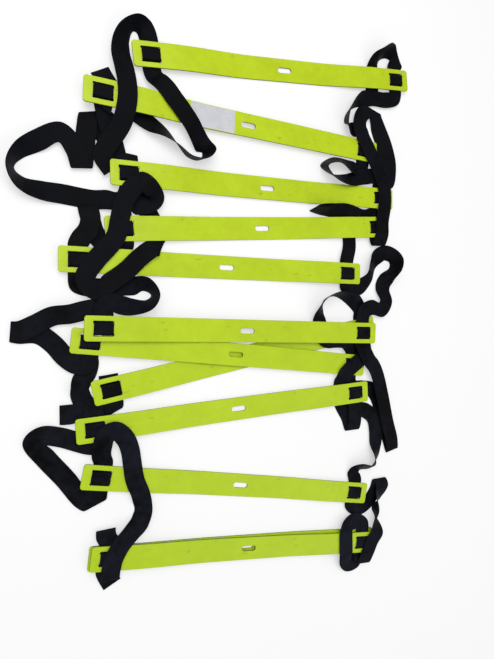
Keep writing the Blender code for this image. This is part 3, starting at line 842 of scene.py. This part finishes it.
    def quiet_slab(
        self, near: Vector, along: Vector, deep: float
    ) -> tuple[float, Vector, Vector] | None:
        """Finds the slab between the piece's two threads that holds the least webbing.

        Args:
            near: Where the piece crosses its own rung's bar.
            along: Direction of the slab's depth.
            deep: Depth of the slab.

        Returns:
            How much webbing the slab holds, its start and its end, or None where the two threads
            overlap in that direction.
        """
        shape = self.shape
        places = self.centres @ np.array(along)
        spread = np.abs(self.widths @ np.array(along)) * shape.wide / 2
        from_bar = np.linalg.norm((self.centres - np.array(near))[:, :2], axis=1)
        enters = int(np.argmax(from_bar < shape.thread_reach))
        leaves = enters + int(np.argmax(from_bar[enters:] > shape.thread_reach))
        first = float((places + spread)[enters:leaves].max())
        last = float((places - spread)[-shape.end_points:].min())
        if last - first < deep:
            return None
        # Webbing that runs across the slab would be drawn out into a wide panel, so it counts for more.
        cost = 1 + shape.side_cost * spread / shape.wide
        found = []
        for start in np.linspace(first, last - deep, shape.slab_tries).tolist():
            inside = (places + spread > start) & (places - spread < start + deep)
            found.append((float(cost[inside].sum()), start))
        amount, start = min(found)
        place = near + along * (start - near.dot(along))
        return amount, place, place + along * deep


class NodeTree:
    """A short way to add and join shader nodes."""

    def __init__(self, tree: bpy.types.NodeTree) -> None:
        """Keeps the tree that nodes are added to."""
        self.tree = tree

    def add(self, kind: str, **values: object) -> bpy.types.Node:
        """Adds a node and sets its fields and inputs.

        Args:
            kind: The node's type, such as ShaderNodeMath.
            **values: Fields of the node, or inputs named in_0, in_Scale and so on: a socket joins, and
                anything else is set.

        Returns:
            The new node.
        """
        node = self.tree.nodes.new(kind)
        for key, value in values.items():
            if not key.startswith("in_"):
                setattr(node, key, value)
        for key, value in values.items():
            if key.startswith("in_"):
                name = key[3:].replace("_", " ")
                self.join(value, node.inputs[int(name) if name.isdigit() else name])
        return node

    def join(self, value: object, socket: bpy.types.NodeSocket) -> None:
        """Joins a socket to an input, or sets the input to a plain value."""
        if isinstance(value, bpy.types.NodeSocket):
            self.tree.links.new(value, socket)
        else:
            socket.default_value = value

    def math(self, operation: str, *values: object) -> bpy.types.NodeSocket:
        """Adds a Math node and returns its result."""
        inputs = {f"in_{i}": value for i, value in enumerate(values)}
        return self.add("ShaderNodeMath", operation=operation, **inputs).outputs[0]

    def mix(self, factor: object, a: object, b: object) -> bpy.types.NodeSocket:
        """Mixes two colours and returns the result."""
        return self.add("ShaderNodeMix", data_type="RGBA", in_0=factor, in_6=a, in_7=b).outputs[2]

    def noise(self, where: bpy.types.NodeSocket, scale: object, detail: float) -> bpy.types.NodeSocket:
        """Adds soft noise, and returns its value."""
        limits = {"in_Scale": scale, "in_Detail": detail}
        return self.add("ShaderNodeTexNoise", in_Vector=where, **limits).outputs[0]

    def ramp(
        self, value: bpy.types.NodeSocket, start: float, end: float, most: float = 1.0
    ) -> bpy.types.NodeSocket:
        """A value that rises from 0 to the most as the given one goes from start to end."""
        limits = {"in_From_Min": start, "in_From_Max": end, "in_To_Max": most}
        return self.add("ShaderNodeMapRange", in_Value=value, **limits).outputs[0]


def add_mottle_group() -> None:
    """Adds the node group of soft uneven patches, as dust, handling and the mould leave on a surface.

    Its mask goes from 0 to 1, and serves plastic, paper and webbing alike; on the webbing its patches
    also carry painted highlights.
    """
    broad_detail, fine_detail = 4.0, 2.0
    fine_ratio, fine_share, middle = 5.3, 0.4, 0.5
    group = bpy.data.node_groups.new(MOTTLE, "ShaderNodeTree")
    for key in ("Scale", "Contrast"):
        group.interface.new_socket(key, in_out="INPUT", socket_type="NodeSocketFloat")
    group.interface.new_socket("Mask", in_out="OUTPUT", socket_type="NodeSocketFloat")
    nodes = NodeTree(group)
    given = nodes.add("NodeGroupInput")
    where = nodes.add("ShaderNodeTexCoord").outputs["Object"]
    scale, contrast = given.outputs["Scale"], given.outputs["Contrast"]
    broad = nodes.noise(where, scale, broad_detail)
    fine = nodes.noise(where, nodes.math("MULTIPLY", scale, fine_ratio), fine_detail)
    rest = nodes.math("MULTIPLY", broad, 1 - fine_share)
    summed = nodes.math("MULTIPLY_ADD", fine, fine_share, rest)
    scaled = nodes.math("MULTIPLY_ADD", nodes.math("SUBTRACT", summed, middle), contrast, middle)
    result = nodes.add("ShaderNodeClamp", in_Value=scaled)
    nodes.join(result.outputs[0], nodes.add("NodeGroupOutput").inputs["Mask"])


@dataclass(frozen=True)
class Finish:
    """A surface's look: its two tones, how shiny it is, its uneven patches and its relief in metres."""

    name: str
    colour: Colour
    shade: Colour
    roughness: float
    roughness_spread: float
    patch_scale: float
    patch_contrast: float
    relief: float = 0.0
    relief_strength: float = 0.0

    def begin(self) -> tuple[bpy.types.Material, NodeTree, bpy.types.Node]:
        """Makes the material, and gives its nodes and its shader."""
        made = bpy.data.materials.new(self.name)
        made.use_nodes = True
        nodes = NodeTree(made.node_tree)
        return made, nodes, made.node_tree.nodes["Principled BSDF"]

    def mottle(self, nodes: NodeTree) -> bpy.types.NodeSocket:
        """Places the mottle group with the finish's own values."""
        group = bpy.data.node_groups[MOTTLE]
        own = {"in_Scale": self.patch_scale, "in_Contrast": self.patch_contrast}
        return nodes.add("ShaderNodeGroup", node_tree=group, **own).outputs["Mask"]

    def dress(
        self,
        nodes: NodeTree,
        shader: bpy.types.Node,
        colour: bpy.types.NodeSocket,
        uneven: bpy.types.NodeSocket,
        height: bpy.types.NodeSocket | None = None,
    ) -> None:
        """Joins the finish to its shader.

        Args:
            nodes: The material's nodes.
            shader: Its Principled BSDF.
            colour: The surface's colour.
            uneven: What the roughness varies with.
            height: The surface's relief, if it has one.
        """
        rough = nodes.math("MULTIPLY_ADD", uneven, self.roughness_spread, self.roughness)
        nodes.join(colour, shader.inputs["Base Color"])
        nodes.join(rough, shader.inputs["Roughness"])
        if height is not None:
            own = {"in_Distance": self.relief, "in_Strength": self.relief_strength}
            bump = nodes.add("ShaderNodeBump", in_Height=height, **own)
            nodes.join(bump.outputs[0], shader.inputs["Normal"])


@dataclass(frozen=True)
class LimePlastic(Finish):
    """Semi-matt moulded plastic, with faint scuffs, a little grime and painted shade on its side faces
    and slot walls.
    """

    scuff: Colour = (0.20, 0.235, 0.02, 1.0)
    # Painted shade: the darker colour of side faces and slot walls.
    painted_edge_shade: Colour = (0.115, 0.150, 0.006, 1.0)
    # Painted light: the greener colour the rungs turn towards the last one.
    light_shifted: Colour = (0.455, 0.700, 0.030, 1.0)
    specular: float = 0.30
    # How closely the scuffs lie along and across a rung, and how far they shift from rung to rung.
    scuff_scale: tuple[float, float, float] = (46.0, 120.0, 1.0)
    scuff_shift: float = 91.0
    # The noise where a scuff starts and where it is full, and how much of the colour it then takes.
    scuff_from: float = 0.645
    scuff_full: float = 0.80
    scuff_most: float = 0.70
    scuff_detail: float = 5.0
    scratch_scale: float = 9.0
    scratch_detail: float = 3.0
    scratch_middle: float = 0.5
    patch_relief: float = 0.6
    # How upright a face's normal is where the painted shade on side faces starts, and where it is full.
    edge_shade_from: float = 0.85
    edge_shade_full: float = 0.25

    def material(self) -> bpy.types.Material:
        """Builds the material."""
        made, nodes, shader = self.begin()
        patches = self.mottle(nodes)
        # Painted light: down the ladder the colour shifts towards the light-shifted one.
        age = nodes.add("ShaderNodeAttribute", attribute_name=LIGHT_SHIFT).outputs["Fac"]
        colour = nodes.mix(age, nodes.mix(patches, self.colour, self.shade), self.light_shifted)
        flat = nodes.add("ShaderNodeUVMap", uv_map="along_rung").outputs[0]
        spread = nodes.add("ShaderNodeMapping", in_Vector=flat, in_Scale=self.scuff_scale).outputs[0]
        random = nodes.add("ShaderNodeObjectInfo").outputs["Random"]
        far = nodes.math("MULTIPLY", random, self.scuff_shift)
        shift = nodes.add("ShaderNodeCombineXYZ", in_X=far, in_Y=random).outputs[0]
        where = nodes.add("ShaderNodeVectorMath", operation="ADD", in_0=spread, in_1=shift).outputs[0]
        marks = nodes.noise(where, 1.0, self.scuff_detail)
        scuffed = nodes.ramp(marks, self.scuff_from, self.scuff_full, self.scuff_most)
        colour = nodes.mix(scuffed, colour, self.scuff)
        # Painted shade: the less upright a face stands, as side faces and slot walls do, the darker it
        # turns.
        normal = nodes.add("ShaderNodeNewGeometry").outputs["Normal"]
        split = nodes.add("ShaderNodeSeparateXYZ", in_Vector=normal)
        upright = nodes.math("ABSOLUTE", split.outputs[2])
        colour = nodes.mix(nodes.ramp(upright, self.edge_shade_from, self.edge_shade_full), colour, self.painted_edge_shade)
        scratch = nodes.noise(where, self.scratch_scale, self.scratch_detail)
        height = nodes.math("ADD", nodes.math("MULTIPLY", patches, self.patch_relief), scratch)
        self.dress(nodes, shader, colour, nodes.math("SUBTRACT", scratch, self.scratch_middle), height)
        shader.inputs["Specular IOR Level"].default_value = self.specular
        return made


@dataclass(frozen=True)
class WovenBlack(Finish):
    """Black woven webbing, with ribs along it, a twill across them, a plain selvedge and painted navy
    highlights on its rib crests.
    """

    rib: float = 0.0011
    float_long: float = 0.0021
    stagger_share: float = 0.5
    pick_share: float = 0.35
    half_wide: float = WebbingShape.wide / 2
    selvedge: float = 0.0016
    selvedge_relief: float = 0.7
    # How light the yarn's patches are, partly wear and partly painted highlights: everywhere, at the
    # first rung, and more by the last, where painted light brightens them.
    dust_and_highlight: float = 0.02
    wear_and_highlight: float = 0.30
    wear_gain: float = 0.75
    specular: float = 0.07
    sheen: float = 0.05
    sheen_roughness: float = 0.30
    sheen_tint: Colour = (0.55, 0.65, 1.0, 1.0)

    def material(self) -> bpy.types.Material:
        """Builds the material."""
        made, nodes, shader = self.begin()
        where = nodes.add("ShaderNodeUVMap", uv_map="weave").outputs[0]
        split = nodes.add("ShaderNodeSeparateXYZ", in_Vector=where)
        across, along = split.outputs[0], split.outputs[1]
        column = nodes.math("DIVIDE", across, self.rib)
        rib = nodes.math("ABSOLUTE", nodes.math("SINE", nodes.math("MULTIPLY", column, math.pi)))
        stagger = nodes.math("MULTIPLY", nodes.math("FLOOR", column), self.stagger_share)
        run = nodes.math("ADD", nodes.math("DIVIDE", along, self.float_long), stagger)
        pick = nodes.math("SINE", nodes.math("MULTIPLY", run, math.tau))
        over = nodes.math("MULTIPLY_ADD", pick, self.pick_share, 1 - self.pick_share)
        weave = nodes.math("MULTIPLY", rib, over)
        start, end = self.half_wide - self.selvedge, self.half_wide - self.selvedge / 2
        rim = nodes.ramp(nodes.math("ABSOLUTE", across), start, end)
        patches = self.mottle(nodes)
        age = nodes.add("ShaderNodeAttribute", attribute_name=LIGHT_SHIFT).outputs["Fac"]
        wear_and_highlight = nodes.math("MULTIPLY_ADD", age, self.wear_gain, self.wear_and_highlight)
        worn_and_lit = nodes.math("MULTIPLY", patches, wear_and_highlight)
        # Painted highlights: the rib crests turn navy, most in the lighter patches.
        lit_tone = nodes.math("MULTIPLY", weave, nodes.math("ADD", worn_and_lit, self.dust_and_highlight))
        colour = nodes.mix(lit_tone, self.shade, self.colour)
        height = nodes.math("ADD", weave, nodes.math("MULTIPLY", rim, self.selvedge_relief))
        self.dress(nodes, shader, colour, patches, height)
        shader.inputs["Specular IOR Level"].default_value = self.specular
        shader.inputs["Sheen Weight"].default_value = self.sheen
        shader.inputs["Sheen Roughness"].default_value = self.sheen_roughness
        shader.inputs["Sheen Tint"].default_value = self.sheen_tint
        return made


@dataclass(frozen=True)
class BlankPaper(Finish):
    """White label paper, a little grey where it has been rubbed."""

    def material(self) -> bpy.types.Material:
        """Builds the material."""
        made, nodes, shader = self.begin()
        patches = self.mottle(nodes)
        self.dress(nodes, shader, nodes.mix(patches, self.colour, self.shade), patches)
        return made


LIME = LimePlastic(
    name="lime_plastic",
    colour=(0.575, 0.745, 0.011, 1.0),
    shade=(0.480, 0.615, 0.006, 1.0),
    roughness=0.40,
    roughness_spread=0.25,
    patch_scale=14.0,
    patch_contrast=2.6,
    relief=0.00006,
    relief_strength=0.35,
)
BLACK = WovenBlack(
    name="black_webbing",
    # The colour is the navy of painted highlights on the weave, the shade the yarn's own near-black.
    colour=(0.0215, 0.0255, 0.0430, 1.0),
    shade=(0.0010, 0.0011, 0.0016, 1.0),
    roughness=0.48,
    roughness_spread=0.20,
    patch_scale=15.0,
    patch_contrast=4.6,
    relief=0.00022,
    relief_strength=0.7,
)
PAPER = BlankPaper(
    name="label_paper",
    colour=(0.70, 0.71, 0.74, 1.0),
    shade=(0.55, 0.56, 0.60, 1.0),
    roughness=0.45,
    roughness_spread=0.1,
    patch_scale=60.0,
    patch_contrast=2.0,
)


@dataclass
class Studio:
    """The floor, the lights and the camera."""

    floor_size: float = 16.0
    floor_grey: float = 0.56
    floor_glow: float = 0.48
    world_level: float = 0.42
    key_power: float = 25.0
    key_size: float = 1.6
    key_place: Place = (-0.5, 0.7, 1.9)
    fill_power: float = 4.0
    fill_size: float = 1.2
    fill_place: Place = (0.9, -0.8, 1.3)
    image: tuple[int, int] = (494, 659)
    focal_px: float = 505.0
    sensor: float = 36.0
    viewpoint: Place = (-0.34017, 0.02903, 0.75869)
    roll: float = math.radians(0.18504)

    def floor(self) -> None:
        """A plain pale floor that reads white to the camera and keeps the object's shadow."""
        mesh = bpy.data.meshes.new("studio_floor")
        half = self.floor_size / 2
        corners = [(-half, -half, 0), (half, -half, 0), (half, half, 0), (-half, half, 0)]
        mesh.from_pydata(corners, [], [(0, 1, 2, 3)])
        obj = bpy.data.objects.new("studio_floor", mesh)
        bpy.context.scene.collection.objects.link(obj)
        made = bpy.data.materials.new("pale_floor")
        made.use_nodes = True
        made.node_tree.nodes.clear()
        nodes = NodeTree(made.node_tree)
        grey = (self.floor_grey, self.floor_grey, self.floor_grey, 1.0)
        diffuse = nodes.add("ShaderNodeBsdfDiffuse", in_Color=grey)
        path = nodes.add("ShaderNodeLightPath")
        seen = nodes.math("MAXIMUM", path.outputs["Is Camera Ray"], path.outputs["Is Glossy Ray"])
        seen = nodes.math("MAXIMUM", seen, path.outputs["Is Transmission Ray"])
        lift = nodes.math("MULTIPLY", seen, self.floor_glow)
        glow = nodes.add("ShaderNodeEmission", in_Color=WHITE, in_Strength=lift)
        both = nodes.add("ShaderNodeAddShader", in_0=diffuse.outputs[0], in_1=glow.outputs[0])
        nodes.join(both.outputs[0], nodes.add("ShaderNodeOutputMaterial").inputs["Surface"])
        mesh.materials.append(made)

    def world(self) -> None:
        """A plain even light from all round, white where the camera sees it."""
        world = bpy.data.worlds.new("studio")
        bpy.context.scene.world = world
        world.use_nodes = True
        world.node_tree.nodes.clear()
        nodes = NodeTree(world.node_tree)
        path = nodes.add("ShaderNodeLightPath")
        seen = nodes.math("MAXIMUM", path.outputs["Is Camera Ray"], path.outputs["Is Transmission Ray"])
        level = nodes.math("MULTIPLY_ADD", seen, 1 - self.world_level, self.world_level)
        glow = nodes.add("ShaderNodeBackground", in_Color=WHITE, in_Strength=level)
        nodes.join(glow.outputs[0], nodes.add("ShaderNodeOutputWorld").inputs["Surface"])

    def lamp(self, name: str, power: float, size: float, place: Place) -> None:
        """A square soft lamp that faces the heap.

        Args:
            name: The lamp's name.
            power: Its power in watts.
            size: The length of its side.
            place: Where it hangs.
        """
        light = bpy.data.lights.new(name, "AREA")
        light.energy = power
        light.size = size
        obj = bpy.data.objects.new(name, light)
        obj.location = place
        obj.rotation_euler = (-Vector(place)).to_track_quat("-Z", "Y").to_euler()
        bpy.context.scene.collection.objects.link(obj)

    def camera(self) -> None:
        """The camera at the photograph's viewpoint, looking at the heap's own middle as it does."""
        data = bpy.data.cameras.new("photo_view")
        data.sensor_width = self.sensor
        data.lens = self.focal_px * self.sensor / max(self.image)
        obj = bpy.data.objects.new("photo_view", data)
        place = Vector(self.viewpoint)
        forward = -place.normalized()
        right = forward.cross(Vector((0, 1, 0))).normalized()
        up = right.cross(forward)
        turned = right * math.cos(self.roll) + up * math.sin(self.roll)
        upright = up * math.cos(self.roll) - right * math.sin(self.roll)
        matrix = Matrix((turned, upright, -forward)).transposed().to_4x4()
        matrix.translation = place + HEAP_SHIFT
        obj.matrix_world = matrix
        bpy.context.scene.collection.objects.link(obj)
        bpy.context.scene.camera = obj

    def build(self) -> None:
        """Sets up everything round the object."""
        self.floor()
        self.world()
        self.lamp("key_light", self.key_power, self.key_size, self.key_place)
        self.lamp("fill_light", self.fill_power, self.fill_size, self.fill_place)
        self.camera()
        bpy.context.scene.view_settings.view_transform = "Standard"


@dataclass
class Ladder:
    """The whole gathered ladder: rungs, label and webbing."""

    rung: RungShape = field(default_factory=RungShape)
    label: Label = field(default_factory=Label)
    label_rung: int = 2
    # How far painted light shifts the last rung's colour.
    fading: float = 0.45

    def piece(self, name: str, mesh: bpy.types.Mesh, made: bpy.types.Material) -> bpy.types.Object:
        """Adds an object with its finish."""
        obj = bpy.data.objects.new(name, mesh)
        mesh.materials.clear()
        mesh.materials.append(made)
        bpy.context.scene.collection.objects.link(obj)
        return obj

    def add_rungs(self, made: bpy.types.Material) -> None:
        """Builds every rung and puts it in place of its solid."""
        flat = self.rung.flat_mesh()
        for number, lay in LAYS.items():
            name = bar_name(number)
            mesh = self.rung.bent_mesh(flat, lay, self.fading * ladder_share(number), name)
            obj = self.piece(name, mesh, made)
            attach(obj, rung_name(number))
            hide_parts(rung_name(number))
            LOG.info("%s: %d faces", obj.name, len(obj.data.polygons))
        bpy.data.meshes.remove(flat)

    def add_label(self, made: bpy.types.Material) -> None:
        """Sticks the blank label on its rung."""
        obj = self.piece("paper_label", self.label.mesh(self.rung, LAYS[self.label_rung]), made)
        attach(obj, rung_name(self.label_rung))
        LOG.info("%s: %.0f mm long", obj.name, (self.label.end - self.label.start) / MM)

    def add_webbing(self, made: bpy.types.Material) -> None:
        """Builds both lengths of webbing, a piece from each rung to the next."""
        shape = WebbingShape(self.rung)
        for side in Side:
            total = 0.0
            for number in LAYS:
                piece = WebbingPiece(shape, number, side)
                obj = self.piece(piece.name, piece.mesh(), made)
                if number + 1 in LAYS:
                    start, end = piece.stretch()
                    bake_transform(obj)
                else:
                    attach(obj, rung_name(number))
                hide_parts(piece.node)
                total += piece.length
                LOG.info("%s: %.3f m", piece.name, piece.length)
            LOG.info("%s webbing: %.2f m", side.value, total)

    def build(self) -> None:
        """Builds the ladder."""
        add_mottle_group()
        self.add_rungs(LIME.material())
        self.add_label(PAPER.material())
        self.add_webbing(BLACK.material())


def main() -> None:
    """Loads the frame, dresses the ladder and sets up the studio."""
    logging.basicConfig(level=logging.INFO, format="%(name)s: %(message)s")
    for obj in list(bpy.data.objects):
        bpy.data.objects.remove(obj, do_unlink=True)
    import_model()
    Ladder().build()
    Studio().build()


if __name__ == "__main__":
    main()
